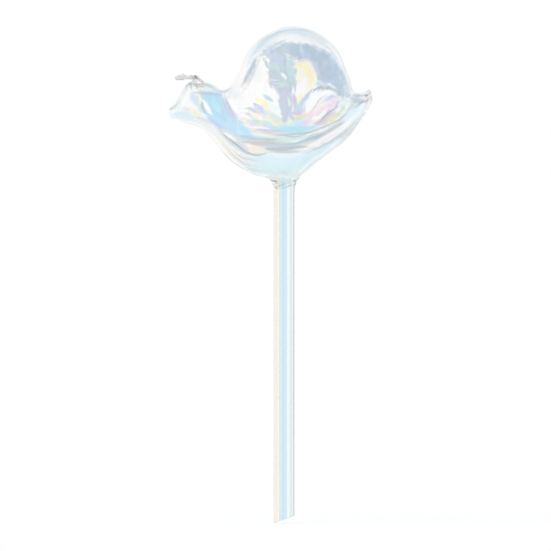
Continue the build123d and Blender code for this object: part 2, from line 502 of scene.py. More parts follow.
def ring(points, outer, inner):
    """Triangles that join an outer loop of points to an inner one."""
    start = int(np.argmin(np.linalg.norm(points[inner] - points[outer[0]], axis=1)))
    inner = inner[start:] + inner[:start]
    quarter = points[outer[len(outer) // 4]]
    ahead, behind = points[inner[len(inner) // 4]], points[inner[-len(inner) // 4]]
    if np.linalg.norm(ahead - quarter) > np.linalg.norm(behind - quarter):
        inner = inner[:1] + inner[:0:-1]

    def shares(loop):
        steps = np.linalg.norm(np.diff(points[loop + loop[:1]], axis=0), axis=1)
        return np.cumsum(steps) / steps.sum()

    outer_share, inner_share = shares(outer), shares(inner)
    i = j = 0
    triangles = []
    while i < len(outer) or j < len(inner):
        a, b = outer[i % len(outer)], inner[j % len(inner)]
        if j == len(inner) or (i < len(outer) and outer_share[i] <= inner_share[j]):
            i += 1
            triangles.append([a, outer[i % len(outer)], b])
        else:
            j += 1
            triangles.append([a, inner[j % len(inner)], b])
    return triangles


def turned(lid, taken):
    """A lid turned so that it closes a skin, whose faces have taken some sides of edges."""
    own = {side for face in lid for side in sides(face)}
    rim = next(side for side in own if side[::-1] not in own)
    return [face[::-1] for face in lid] if rim in taken else lid


def make_piece(name, points, faces, lids, normals):
    """A closed piece of glass. Its lids are the joints where it is fused to its neighbours."""
    used, index = np.unique(np.concatenate([np.array(face) for face in faces + lids]), return_inverse=True)
    starts = np.cumsum([0] + [len(face) for face in faces + lids])
    corners = [index[a:b].tolist() for a, b in zip(starts[:-1], starts[1:])]
    mesh = bpy.data.meshes.new(name)
    mesh.from_pydata(((points[used] + (0, 0, NECK_Z)) * MM).tolist(), [], corners)
    is_lid = np.arange(len(corners)) >= len(faces)
    mesh.polygons.foreach_set("use_smooth", ~is_lid)
    mesh.polygons.foreach_set("material_index", is_lid.astype(int))
    mesh.normals_split_custom_set_from_vertices(normals[used].tolist())
    piece = add_object(name + "_glass", mesh)
    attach(piece, "root")
    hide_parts(name)
    return piece


def snail():
    """All the pieces above the stem, parted from one outer and one inner skin."""
    out_points, out_faces, out_owner = part_skin(*draw(outside, GRID_LOW, GRID_HIGH), outer_pieces)
    in_points, in_faces, in_owner = part_skin(*draw(inside, GRID_LOW, GRID_HIGH), inner_pieces)
    in_faces = [[i + len(out_points) for i in face[::-1]] for face in in_faces]
    points = np.concatenate([out_points, in_points])
    normals = np.concatenate([unit(slope(outside, out_points)[0]), -unit(slope(inside, in_points)[0])])
    out_rims, in_rims = rims(out_faces, out_owner), rims(in_faces, in_owner)
    lids = {}
    for key, loop in out_rims.items():
        if key in in_rims:
            lids[key] = ring(points, loop, in_rims[key])
        else:
            points = np.concatenate([points, points[loop].mean(0, keepdims=True)])
            normals = np.concatenate([normals, [(0.0, 0.0, 1.0)]])
            lids[key] = [[a, b, len(points) - 1] for a, b in sides(loop)]
    faces, owner = out_faces + in_faces, np.concatenate([out_owner, in_owner])
    made = {}
    for name in PIECES:
        own = [face for face, one in zip(faces, owner) if one == name]
        keys = PIECES[1:] if name == "snail_body" else [name, "open"] if name == "neck_collar" else [name]
        taken = {side for face in own for side in sides(face)}
        own_lids = sum((turned(lids[key], taken) for key in keys), [])
        made[name] = make_piece(name, points, own, own_lids, normals)
    return made


def stem():
    """The stem's tube, from the collar down to its slanted, ground tip."""
    around = 96
    worn, bevel = 0.25, 0.3 * 0.25  # wear of the tip's edges, and the middle of its rounding
    turn = np.linspace(0, 2 * np.pi, around, endpoint=False)
    lift = tan(radians(TIP_SLANT))
    heights = (STEM_LENGTH, 120, 80, 40, 12)
    tip = [(STEM_RADIUS, worn), (STEM_RADIUS - bevel, bevel), (STEM_RADIUS - worn, 0)]
    tip += [(BORE_RADIUS + worn, 0), (BORE_RADIUS + bevel, bevel), (BORE_RADIUS, worn)]
    looks = [(1, 0), (0.7, -0.7), (0, -1), (0, -1), (-0.7, -0.7), (-1, 0)]
    rows = [(STEM_RADIUS, z, 0, (1, 0)) for z in heights]
    rows += [(radius, z, lift, look) for (radius, z), look in zip(tip, looks)]
    rows += [(BORE_RADIUS, z, 0, (-1, 0)) for z in heights[::-1]]
    points, normals = [], []
    for radius, z, slant, (out, up) in rows:
        x, y = radius * np.cos(turn), radius * np.sin(turn)
        points.append(np.stack([x, y, z + slant * (x + STEM_RADIUS) - NECK_Z], -1))
        normals.append(np.stack([out * np.cos(turn) - slant * up, out * np.sin(turn), up + 0 * turn], -1))

    def band(row, below):
        upper, lower = row * around, below * around
        steps = [(i, (i + 1) % around) for i in range(around)]
        return [[lower + i, lower + j, upper + j, upper + i] for i, j in steps]

    faces = sum((band(row, row + 1) for row in range(len(rows) - 1)), [])
    lid = band(len(rows) - 1, 0)
    return make_piece("stem_tube", np.concatenate(points), faces, lid, unit(np.concatenate(normals)))


pieces = snail() | {"stem_tube": stem()}


# Film on the glass, with painted highlights, reflections and shade, all painted by place on the snail

def new_node(tree, kind):
    return tree.nodes.new("ShaderNode" + kind)


class Value:
    """A number that a material works out at each point, from Math nodes."""

    def __init__(self, tree, socket):
        self.tree, self.socket = tree, socket

    def math(self, operation, *others):
        node = new_node(self.tree, "Math")
        node.operation = operation
        feed_all(self.tree, node, dict(enumerate((self, *others))))
        return Value(self.tree, node.outputs[0])

    def __add__(self, other):
        return self.math("ADD", other)

    def __sub__(self, other):
        return self.math("SUBTRACT", other)

    def __mul__(self, other):
        return self.math("MULTIPLY", other)

    def step(self, low, high):
        """A smooth step from 0 at low to 1 at high, or the other way round where low is the larger."""
        node = new_node(self.tree, "MapRange")
        node.interpolation_type = "SMOOTHSTEP"
        numbers = (self, min(low, high), max(low, high), low > high, low < high)
        feed_all(self.tree, node, dict(enumerate(numbers)))
        return Value(self.tree, node.outputs[0])

    def band(self, low, high, soft):
        return self.step(low - soft, low + soft) * self.step(high + soft, high - soft)


def feed(tree, socket, value):
    """Gives an input what other nodes work out, a colour or a plain number."""
    if isinstance(value, Value):
        value = value.socket
    if isinstance(value, bpy.types.NodeSocket):
        tree.links.new(value, socket)
    else:
        socket.default_value = (*value, 1) if socket.type == "RGBA" else value


def feed_all(tree, node, values):
    for key, value in values.items():
        feed(tree, node.inputs[key], value)


def coordinates(tree, kind):
    """The X, Y and Z of a place on an object, or of a direction in the world."""
    split = new_node(tree, "SeparateXYZ")
    tree.links.new(new_node(tree, "TexCoord").outputs[kind], split.inputs[0])
    return [Value(tree, socket) for socket in split.outputs]


def ray(tree, kind):
    """1 for light paths of a kind, and 0 for others."""
    return Value(tree, new_node(tree, "LightPath").outputs[f"Is {kind} Ray"])


def noise(tree, place, size, detail=2.0, stretch=(1, 1, 1), seed=0.0):
    """Smooth noise between about -0.5 and 0.5, with blobs of a size in millimetres."""
    mapping = new_node(tree, "Mapping")
    scale = [1 / (size * MM * part) for part in stretch]
    feed_all(tree, mapping, {"Vector": place, "Location": (seed, 0.7 * seed, -seed), "Scale": scale})
    node = new_node(tree, "TexNoise")
    feed_all(tree, node, {"Vector": mapping.outputs["Vector"], "Scale": 1.0, "Detail": detail})
    return Value(tree, node.outputs["Fac"]) - 0.5


def distance(x, h, middle):
    return ((x - middle[0]).math("POWER", 2.0) + (h - middle[1]).math("POWER", 2.0)).math("SQRT")


MIX_UNDER, MIX_OVER, MIX_RESULT = 6, 7, 2  # sockets of a Mix node that hold colours


def tint(tree, under, over, part):
    """One colour laid over another, by how much of it shows."""
    node = new_node(tree, "Mix")
    node.data_type = "RGBA"
    feed_all(tree, node, {"Factor": part, MIX_UNDER: under, MIX_OVER: over})
    return node.outputs[MIX_RESULT]


def layers(tree, color, *films):
    """Colours laid over another in turn, each by how much of it shows."""
    for film, part in films:
        color = tint(tree, color, film, part)
    return color


# Colours of the film, and of painted highlights, reflections and shade
CLEAR = (0.985, 0.995, 1.0)
WHITE = (1.0, 1.0, 1.0)
BLUE = (0.68, 0.88, 0.985)
SKY = (0.66, 0.85, 0.96)
PALE_BLUE = (0.86, 0.955, 0.995)
POOL = (0.83, 0.955, 1.0)
PERIWINKLE = (0.74, 0.81, 0.94)
STEEL = (0.645, 0.745, 0.84)
SLATE = (0.7, 0.76, 0.81)
LILAC = (0.715, 0.79, 0.88)
MAUVE = (0.82, 0.77, 0.89)
TEAL = (0.72, 0.865, 0.91)
AQUA = (0.69, 0.9, 0.98)
MINT = (0.83, 0.94, 0.91)
FROST = (0.93, 0.99, 0.97)
LEAF = (0.8, 0.91, 0.81)
OLIVE = (0.89, 0.88, 0.76)
PINK = (0.96, 0.87, 0.93)
PEACH = (1.0, 0.955, 0.9)
LEMON = (1.0, 0.965, 0.79)
CREAM = (1.0, 0.975, 0.91)
GREY = (0.76, 0.8, 0.83)
MIST = (0.84, 0.88, 0.915)
DEW = (0.92, 0.955, 0.96)
HAZE = (0.77, 0.84, 0.86)
HYACINTH = (0.82, 0.88, 0.975)
AZURE = (0.69, 0.92, 1.0)
LINE = (0.64, 0.68, 0.72)
TAUPE = (0.78, 0.76, 0.76)
UMBER = (0.62, 0.57, 0.54)
# Painted shade: the darkest lines where thick glass bends light
REFRACTED_DARK = (0.14, 0.15, 0.17)
SHALLOWS = (0.865, 0.975, 1.0)
GLACIER = (0.8, 0.9, 0.93)
# Painted light along the outline: a blue sheen and a grey shade
RIM_SHEEN_BLUE = (0.8, 0.925, 0.97)
RIM_GREY_SHADE = (0.86, 0.88, 0.895)
# Painted shade in the thick glass of the feelers' roots and the tail's tip
ROOT_SHADE_GREY = (0.8, 0.805, 0.8)
TIP_SHADE_GREY = (0.915, 0.9, 0.895)
PASTELS = [(0.95, 0.85, 0.92), (0.98, 0.95, 0.82), (0.84, 0.95, 0.87), (0.77, 0.90, 0.98), (0.85, 0.84, 0.96)]

# Colours of the stripes along the stem, from left to right. Beside the film's blue they are painted light of
# the glass tube: a warm reflection on the left, grey lines, and a dark edge on the right.
STEM_AMBER = (0.88, 0.85, 0.77)
STEM_CREAM = (0.97, 0.945, 0.9)
STEM_GREY = (0.82, 0.86, 0.87)
STEM_BLUE = (0.795, 0.915, 0.975)
STEM_DEEP = (0.74, 0.88, 0.955)
STEM_CLEAR = (0.955, 1.0, 1.0)
STEM_LINE = (0.81, 0.865, 0.885)
STEM_PALE = (0.87, 0.925, 0.93)
STEM_EDGE_SHADE = (0.34, 0.38, 0.35)

GLASS_IOR = 1.47
FILM_IOR = 1.8
FILM_THICKNESS = 260.0  # nanometres

SWEEP_MIDDLE = (-2.0, 54.0)  # of the bands that sweep around below the dome

# Strokes of film and of painted light, seen from the side: colour, start, middle, end, half width and
# softness of the edge. White strokes are painted highlights; thin grey and dark strokes are painted shade
# along lines where the glass bends light.
HEAD_FILM_AND_PAINTED_LIGHT = [
    (PALE_BLUE, (-54, 30), (-47, 30.5), (-42, 27), 2.2, 1.4),
    (DEW, (-52, 33), (-48.4, 33.6), (-44.4, 32.4), 1.5, 1),
    (GREY, (-55, 31.5), (-52.5, 33.8), (-50, 36), 0.5, 0.4),
    (GREY, (-49.9, 39.6), (-50.4, 37.2), (-50.9, 34.6), 0.15, 0.2),
    (GREY, (-49, 38.4), (-49.5, 36.2), (-50.2, 34.2), 0.12, 0.2),
    (MIST, (-45.6, 45.4), (-47.6, 42.8), (-49.6, 39.4), 0.5, 0.4),
    (PINK, (-48, 33), (-46, 32.8), (-43.4, 33.6), 0.6, 0.9),
    (HYACINTH, (-44.2, 41), (-42.6, 38.2), (-41.4, 34.4), 1.7, 0.9),
    (LEAF, (-40.7, 40.2), (-40.6, 35.2), (-39.4, 30.4), 0.6, 0.6),
    (CREAM, (-44.4, 36), (-42.2, 31), (-35.8, 27.4), 1.2, 0.5),
    (BLUE, (-36.5, 50), (-30.9, 31.2), (-13, 19.4), 6, 0.8),
    (SKY, (-35, 42), (-31.6, 34), (-27, 26.5), 2.4, 1.2),
    (AZURE, (-34.2, 39.6), (-32.6, 35.4), (-30.4, 30.6), 1.8, 1),
    (PERIWINKLE, (-29, 38.5), (-26.3, 32), (-20.5, 26.5), 1.3, 0.5),
    (PERIWINKLE, (-37, 29), (-32.5, 25.8), (-26, 22.3), 1, 0.7),
    (TEAL, (-25.5, 27.5), (-22.5, 26.3), (-20, 24.3), 1.1, 0.5),
    (MIST, (-43, 29.6), (-38, 27.6), (-32, 24.6), 0.6, 0.5),
    (LILAC, (-39.3, 37), (-38.7, 33.6), (-37.2, 30.2), 1, 0.4),
    (WHITE, (-38.3, 37.6), (-36.7, 34), (-34.2, 30), 1.1, 0.3),
    (DEW, (-44, 43), (-36, 43), (-28.6, 40.6), 1.5, 0.4),
    (STEEL, (-44.6, 41.3), (-37, 40.5), (-29.2, 40.1), 0.4, 0.25),
    # At a feeler's root: a painted highlight in white between painted dark lines of the thick glass
    (TAUPE, (-45, 46.6), (-44.3, 44.6), (-43.9, 42.4), 0.45, 0.3),
    (PEACH, (-43.6, 46.4), (-42.9, 44.6), (-42.3, 42.8), 0.5, 0.3),
    (TAUPE, (-42.3, 46.2), (-41.7, 44.4), (-41.2, 42.6), 0.4, 0.25),
    (WHITE, (-41.6, 46.6), (-40.2, 45), (-38.8, 43), 0.6, 0.2),
    (TAUPE, (-40.4, 46), (-39.2, 44.8), (-37.6, 43.4), 0.35, 0.2),
    # A painted lilac line where the seam below the dome bends light, with clear white beside it
    (WHITE, (-27.6, 45.4), (-23.8, 36.2), (-15, 27.8), 2.2, 0.4),
    (LILAC, (-28.2, 39.8), (-26, 34.3), (-20.2, 27.6), 0.5, 0.2),
    (GREY, (-27, 38.8), (-26.5, 38.6), (-25.9, 38), 0.2, 0.2),
    (GREY, (-24, 39.1), (-23.2, 39), (-22.4, 39), 0.15, 0.2),
]
BELLY_FILM_AND_PAINTED_LIGHT = [
    (HAZE, (-28, 22.6), (-12, 17.4), (6, 16.8), 2, 0.6),
    (AQUA, (-9, 24.4), (4, 22.8), (17, 25), 1.7, 0.6),
    (MAUVE, (-18, 24.8), (-9, 22.8), (0, 22.6), 0.7, 0.3),
    (WHITE, (-20, 25.6), (-13, 24), (-6, 23.8), 0.5, 0.2),
    (MINT, (-13, 20), (3, 19), (18, 21.4), 1.2, 0.3),
    (STEEL, (-22, 20.8), (-12, 19), (-2, 18.6), 0.8, 0.3),
    (TAUPE, (-22.5, 17.8), (-12, 16.6), (-2, 17.2), 0.9, 0.3),
    (LILAC, (-4, 16), (3, 16.2), (11, 17.4), 0.6, 0.3),
    (SLATE, (-13, 14), (0.6, 14), (12.4, 15.4), 1.1, 0.3),
    (GREY, (-9, 12.4), (2, 12.5), (11, 13), 0.5, 0.4),
    (STEEL, (6, 17), (12.5, 18.7), (19.5, 21.6), 0.7, 0.3),
    # Painted highlight: a white streak along the right of the belly, with painted dark lines beside it
    (WHITE, (8, 12.6), (21, 19.3), (37, 32), 1.7, 0.15),
    (LINE, (8.6, 11.8), (21.5, 17.3), (36, 29), 0.4, 0.12),
    (LINE, (9.6, 16.2), (20, 21.2), (33, 31), 0.4, 0.12),
    (LINE, (-12, 22.3), (9, 21.2), (34, 34.5), 0.4, 0.15),
    (UMBER, (21, 15), (28.5, 19.6), (36, 27.6), 0.35, 0.2),
    (UMBER, (29, 19.2), (34.8, 25.2), (39.4, 33), 0.5, 0.2),
    (PALE_BLUE, (27, 26.5), (32, 31), (36.5, 36), 1.6, 0.5),
    (LILAC, (31, 39), (34.3, 37), (38, 37.6), 1.4, 0.5),
    (LINE, (32.5, 33.2), (36, 35.6), (41.5, 38.6), 0.4, 0.2),
    (PEACH, (-22, 17.4), (-14.6, 13.8), (-7.2, 12.6), 2.1, 0.15),
    (MIST, (-33, 24), (-25, 19.2), (-16, 11), 2.6, 0.8),
    # Painted highlight: a short white streak on the left of the belly, with a painted dark line under it
    (WHITE, (-29.2, 22), (-25.5, 19.9), (-21.6, 17.6), 0.8, 0.15),
    (LINE, (-30, 21), (-23.5, 17.2), (-17, 11.4), 0.4, 0.15),
    (LINE, (-21, 14.4), (-15, 11.4), (-7.5, 12), 0.35, 0.15),
    (CREAM, (-32, 21), (-26.6, 13.2), (-18, 6.6), 1, 0.6),
    (POOL, (7, 5), (16, 10.6), (27, 19.4), 2.2, 1.2),
    (GREY, (-24, 13.4), (-19, 9.8), (-12, 8.2), 0.3, 0.3),
    (GREY, (-28, 15.5), (-21, 8.6), (-13, 5.6), 0.3, 0.3),
    (SLATE, (-21, 5.8), (-14, 3.2), (-8, 1.2), 0.5, 0.3),
]

# Broad strokes on the dome: a painted reflection of a soft box, white on the dome's left, and painted dark
# blue reflections in a crescent and in the middle, streaked lighter and darker as rippled glass would shade
# them. So the crescent and the middle have no colour of their own.
SOFT_BOX_REFLECTION = [
    (WHITE, (-4, 72), (-12.6, 48), (-21.4, 28), 6.8, 0.2),
]
CRESCENT_REFLECTIONS = [
    ((-11.6, 58.2), (-1, 61.6), (10, 59), 3, 0.2),
    ((0, 64.2), (18.5, 53.2), (31, 37.6), 6.5, 0.2),
]
MIDDLE_REFLECTION = ((-1.8, 65), (-0.8, 51), (0.2, 37), 6.6, 0.2)

STRIP_FILM = [
    (LINE, (-12.4, 58.4), (-16, 51), (-20.2, 43.2), 0.75, 0.2),
    (LILAC, (-12.8, 58), (-15.6, 52.4), (-17.6, 47), 0.5, 0.3),
]
# Strokes on the dome: pastel film, with painted highlights in white and painted shade in thin grey and dark
# lines
DOME_FILM_AND_PAINTED_LIGHT = [
    (PERIWINKLE, (6.8, 65), (8.8, 60.4), (10, 55.6), 0.9, 0.3),
    (PERIWINKLE, (12.6, 57), (15.2, 53), (16.6, 48), 0.9, 0.3),
    (TEAL, (13.5, 47), (16.3, 44.8), (19, 43.6), 0.9, 0.3),
    (PERIWINKLE, (-8, 58.6), (-4, 56.8), (0, 55.6), 2, 0.3),
    (TEAL, (2.2, 59.5), (3.3, 52.5), (4, 44.5), 2, 0.3),
    (TEAL, (-7, 52.6), (-4, 52.7), (-1, 52.2), 1.4, 0.3),
    (GREY, (-7.3, 51), (-6.9, 47), (-6, 42.5), 1, 0.3),
    (GREY, (4.8, 48.5), (5.7, 44.6), (5, 41), 1, 0.3),
    (LILAC, (-8, 45), (-4.3, 44.2), (-0.5, 44.7), 0.8, 0.3),
    (LEAF, (-3, 44.8), (0.2, 44.5), (3, 45), 1, 0.3),
    (SKY, (-4, 46.4), (0, 46.8), (3.6, 46.6), 0.7, 0.2),
    (LILAC, (0.4, 45), (0.6, 36), (-0.4, 26), 3.4, 0.4),
    (MAUVE, (3.6, 41), (5.3, 37), (4.8, 33), 1.3, 0.4),
    (MINT, (1.7, 39), (2.4, 36.6), (2.5, 34), 0.7, 0.2),
    (CREAM, (4.6, 57), (11.2, 49), (6, 36.4), 4.5, 0.15),
    (CREAM, (3.6, 52.4), (9.4, 54.9), (15.6, 49), 2.2, 0.15),
    (LEMON, (4.4, 53.4), (9, 54), (14, 50), 1.5, 0.4),
    (LEMON, (9.4, 54.8), (12.4, 50.8), (12.8, 45), 1.5, 0.5),
    (WHITE, (11, 47.6), (8.6, 43.4), (6, 38.6), 2.2, 0.5),
    (TEAL, (4.4, 30.8), (7.6, 34.4), (9.8, 38.8), 1.5, 0.3),
    (PERIWINKLE, (8.4, 35.6), (10.8, 38.5), (13.6, 41.4), 1.1, 0.3),
    (LEMON, (6.6, 35), (7.8, 38), (8.6, 40.8), 0.7, 0.2),
    (WHITE, (9.8, 31.4), (15, 37.6), (23.4, 42.2), 2.9, 0.15),
    (LINE, (10, 38.8), (17.4, 43.1), (26.4, 40.4), 0.6, 0.2),
    (WHITE, (19, 45.2), (22, 44.3), (25.6, 42.3), 0.5, 0.2),
    (GREY, (12, 30.6), (15.8, 36), (20.8, 40.2), 0.5, 0.2),
    (PINK, (9, 27.6), (18, 32.6), (27.4, 38), 3, 0.25),
    (PEACH, (13.6, 30.2), (17.5, 34), (22, 36.8), 0.9, 0.3),
    (WHITE, (12.6, 27), (17.4, 30.2), (22, 33.2), 0.8, 0.2),
    (PERIWINKLE, (20, 37), (23, 38.9), (26, 38.4), 0.9, 0.3),
    (MAUVE, (14, 25), (20.4, 28), (25.4, 32.6), 1.5, 0.3),
    (LINE, (14.4, 26.2), (21.6, 31), (27, 36.8), 0.55, 0.2),
    (OLIVE, (17, 24.4), (24, 28.4), (29, 35.2), 1, 0.3),
    (LEAF, (25.4, 30), (27.6, 33.4), (28.8, 37), 1, 0.3),
    (MAUVE, (2, 31.2), (6, 30.8), (10, 32.8), 1, 0.3),
    (OLIVE, (3, 27.8), (7.5, 28.6), (11.4, 31.2), 1, 0.3),
    (PERIWINKLE, (1.8, 31), (3.7, 29), (4.8, 26.8), 1, 0.3),
    (LEMON, (-14, 37.8), (-9, 34.9), (-4.2, 30.6), 1.5, 0.25),
    (FROST, (-8.4, 34.6), (-4.4, 33), (-1.2, 28.8), 2, 0.2),
    (MINT, (-11, 30.8), (-6.5, 29.5), (-1.4, 28.6), 1.1, 0.3),
    (TEAL, (-11, 40), (-8, 38.2), (-4.8, 36), 1, 0.3),
    (WHITE, (-8, 43), (-5.4, 41.1), (-2.6, 38.8), 1.1, 0.2),
    (PERIWINKLE, (-14.4, 35.6), (-12, 33.3), (-10, 30.6), 1.4, 0.3),
    (PEACH, (-17, 32), (-13, 29.6), (-9.6, 27.6), 1.2, 0.3),
    (LEAF, (-15, 28.4), (-12, 26.6), (-8.6, 25.8), 1, 0.3),
    (LILAC, (-19.6, 33.8), (-16.6, 33.2), (-13, 31), 0.5, 0.2),
    (GREY, (-20, 31.4), (-17.4, 31), (-14.4, 29.4), 0.4, 0.2),
    (LILAC, (-9.8, 58), (-8.2, 54.6), (-5.4, 50.4), 0.9, 0.12),
    # Painted glints in white
    (WHITE, (-2.4, 50.8), (-0.3, 49.3), (1.2, 47.6), 0.8, 0.2),
    (WHITE, (-6.6, 45.6), (-4.3, 46.2), (-1.6, 46.6), 0.4, 0.15),
    (WHITE, (0.4, 59), (1.9, 58.3), (3.4, 57), 0.5, 0.15),
]


def rainbow(tree, phase):
    """The pastel colours of the film, over and over again as it thickens."""
    node = new_node(tree, "ValToRGB")
    elements = node.color_ramp.elements
    elements[1].position = 1.0
    colors = PASTELS + PASTELS[:1]
    for i, color in enumerate(colors):
        part = i / (len(colors) - 1)
        element = elements[0] if i == 0 else elements[-1] if part == 1 else elements.new(part)
        element.color = (*color, 1)
    feed(tree, node.inputs["Fac"], phase.math("FRACT"))
    return node.outputs["Color"]


def new_material(name):
    material = bpy.data.materials.new(name)
    material.use_nodes = True
    return material, material.node_tree, material.node_tree.nodes["Principled BSDF"]


def film_glass(name, paint, film_thickness):
    """Clear glass with a thin bright film, in the colour that paint gives to each place."""
    material, tree, shader = new_material(name)
    x, y, z = coordinates(tree, "Object")
    alike = new_node(tree, "CombineXYZ")
    feed_all(tree, alike, {"X": x, "Y": y.math("ABSOLUTE"), "Z": z})
    color = paint(tree, alike.outputs[0], x * (1 / MM), z * (1 / MM) - NECK_Z)
    feed_all(tree, shader, {
        "Base Color": color, "Transmission Weight": 1.0, "Roughness": 0.0, "IOR": GLASS_IOR,
        "Thin Film Thickness": film_thickness, "Thin Film IOR": FILM_IOR,
    })
    return material


def fused_joint():
    """Inside a joint of fused glass there is nothing to see."""
    material, tree, shader = new_material("fused_joint")
    feed_all(tree, shader, {"Base Color": CLEAR, "Alpha": 0.0})
    return material


def facing(tree):
    """How far the glass turns away from the eye, from 0 face on to 1 edge on."""
    return Value(tree, new_node(tree, "LayerWeight").outputs["Facing"])


def stroke_group():
    """Nodes that lay a stroke of colour over another colour, for film and painted light alike. It bows
    between its ends, where it comes to a point.
    """
    tree = bpy.data.node_groups.new("film_and_light_stroke", "ShaderNodeTree")
    sockets = {"Under": "Color", "Film": "Color", "Spot": "Vector", "Along": "Vector", "Across": "Vector"}
    sockets.update({name: "Float" for name in ("Start", "Side", "Bow", "Half Width", "Soft")})
    for name, kind in sockets.items():
        tree.interface.new_socket(name, in_out="INPUT", socket_type="NodeSocket" + kind)
    tree.interface.new_socket("Color", in_out="OUTPUT", socket_type="NodeSocketColor")
    given = tree.nodes.new("NodeGroupInput").outputs

    def measure(way, origin):
        node = new_node(tree, "VectorMath")
        node.operation = "DOT_PRODUCT"
        tree.links.new(given["Spot"], node.inputs[0])
        tree.links.new(given[way], node.inputs[1])
        return Value(tree, node.outputs["Value"]) - Value(tree, given[origin])

    part = measure("Along", "Start")
    swell = (part * part).math("MULTIPLY_ADD", -1.0, 1.0)
    off = (measure("Across", "Side") - swell * Value(tree, given["Bow"])).math("ABSOLUTE")
    depth = swell * Value(tree, given["Half Width"]) - off
    shows = depth.math("DIVIDE", Value(tree, given["Soft"])).step(-1, 1)
    color = tint(tree, given["Under"], given["Film"], shows)
    tree.links.new(color, tree.nodes.new("NodeGroupOutput").inputs["Color"])
    return tree


film_and_light_stroke = stroke_group()


def brush(tree, color, x, h, strokes):
    """Strokes of film and of painted light laid over a colour, one after another."""
    spot = new_node(tree, "CombineXYZ")
    feed_all(tree, spot, {"X": x, "Y": h})
    for film, start, middle, end, half_width, soft in strokes:
        start, middle, chord = Vector(start), Vector(middle), Vector(end) - Vector(start)
        along = chord * 2 / chord.length_squared
        across = Vector((-chord.y, chord.x)) / chord.length
        bow = across.dot(middle - start) / (1 - (along.dot(middle - start) - 1) ** 2)
        node = new_node(tree, "Group")
        node.node_tree = film_and_light_stroke
        feed_all(tree, node, {
            "Under": color, "Film": film, "Spot": spot.outputs[0],
            "Along": (*along, 0), "Across": (*across, 0),
            "Start": along.dot(start) + 1, "Side": across.dot(start),
            "Bow": bow, "Half Width": half_width, "Soft": soft,
        })
        color = node.outputs["Color"]
    return color


def snail_paint(tree, place, x, h):
    """Film on the body and the dome, with painted highlights, reflections and shade."""
    slow = noise(tree, place, 14.0)
    quick = noise(tree, place, 4.0, 3.0, seed=4.0)
    fine = noise(tree, place, 1.4, seed=7.0)
    wx, wh = x + slow + quick * 0.6, h + slow - quick * 0.6
    rx, rh = wx + slow * 0.6 + quick * 2.2 + fine * 1.8, wh + slow * 0.6 - quick * 2.2 - fine * 1.8
    # bands that sweep around below the dome
    sweep = distance(wx, wh, SWEEP_MIDDLE) + fine * 0.6
    pastel = rainbow(tree, sweep * 0.16 + slow * 1.5 + quick * 0.8)
    color = layers(
        tree, CLEAR,
        (SHALLOWS, sweep.step(42, 45) * x.step(-22, -10)),
        (CREAM, sweep.step(44, 47) * x.step(-12, -24) * h.step(29, 23) * 0.5),
        (pastel, sweep.band(22, 34, 2) * h.step(42, 36) * 0.9),
        (GREY, sweep.band(38.2, 40.4, 0.5) * (quick * 0.8 + 0.7)),
    )
    color = brush(tree, color, wx, wh, HEAD_FILM_AND_PAINTED_LIGHT + BELLY_FILM_AND_PAINTED_LIGHT)
    color = brush(tree, color, rx, rh, SOFT_BOX_REFLECTION)
    # Painted reflection on the dome: dark blue in streaks of painted light and shade, paler in patches in the
    # middle
    streaks = noise(tree, place, 1.8, 3.0, stretch=(1, 1, 3), seed=9.0) + quick * 0.5
    light, dark = streaks.step(0, 0.16), streaks.step(-0.06, -0.2)
    streaked_reflection = layers(tree, STEEL, (PERIWINKLE, light), (SLATE, dark))
    ragged = noise(tree, place, 2.6, seed=17.0)
    paler_reflection = tint(tree, streaked_reflection, GLACIER, ragged.step(-0.2, 0.2) * 0.6)
    dark_reflections = [(streaked_reflection, *dark_reflection) for dark_reflection in CRESCENT_REFLECTIONS] + [(paler_reflection, *MIDDLE_REFLECTION)]
    color = brush(tree, color, rx + ragged * 3.0, rh + ragged * 4.0, dark_reflections)
    color = brush(tree, color, rx, rh, DOME_FILM_AND_PAINTED_LIGHT)
    color = brush(tree, color, wx + fine * 1.4, wh + ragged * 1.2, STRIP_FILM)
    # painted sheen in blue along the upper left of the dome's outline, and grey where the wall is seen edge
    # on: its thicker colour there, with painted shade
    edge = facing(tree)
    rim_sheen = edge.step(0.45, 0.56) * h.step(52, 57) * x.step(20, 6)
    return layers(tree, color, (RIM_SHEEN_BLUE, rim_sheen), (RIM_GREY_SHADE, edge.step(0.55, 0.9)))


def stem_paint(tree, place, x, _):
    """Stripes along the stem, at every height alike: the film's blue, with a painted warm reflection on the
    left, painted grey lines and a painted dark edge on the right.
    """
    x = x + noise(tree, place, 12.0, stretch=(1, 1, 6)) * 0.4
    return layers(
        tree, STEM_CLEAR,
        (STEM_CREAM, x.step(-2.2, -2.5)),
        (STEM_AMBER, x.step(-3.8, -4.4)),
        (STEM_GREY, x.band(-2.3, -1.7, 0.12)),
        (STEM_BLUE, x.band(-1.6, 1.45, 0.2)),
        (STEM_DEEP, x.band(-0.95, 0, 0.2)),
        (STEM_PALE, x.step(2.9, 3.05)),
        (STEM_LINE, x.band(2.95, 3.25, 0.1)),
        (STEM_EDGE_SHADE, x.step(4.25, 4.5) * facing(tree).step(0.35, 0.55)),
    )


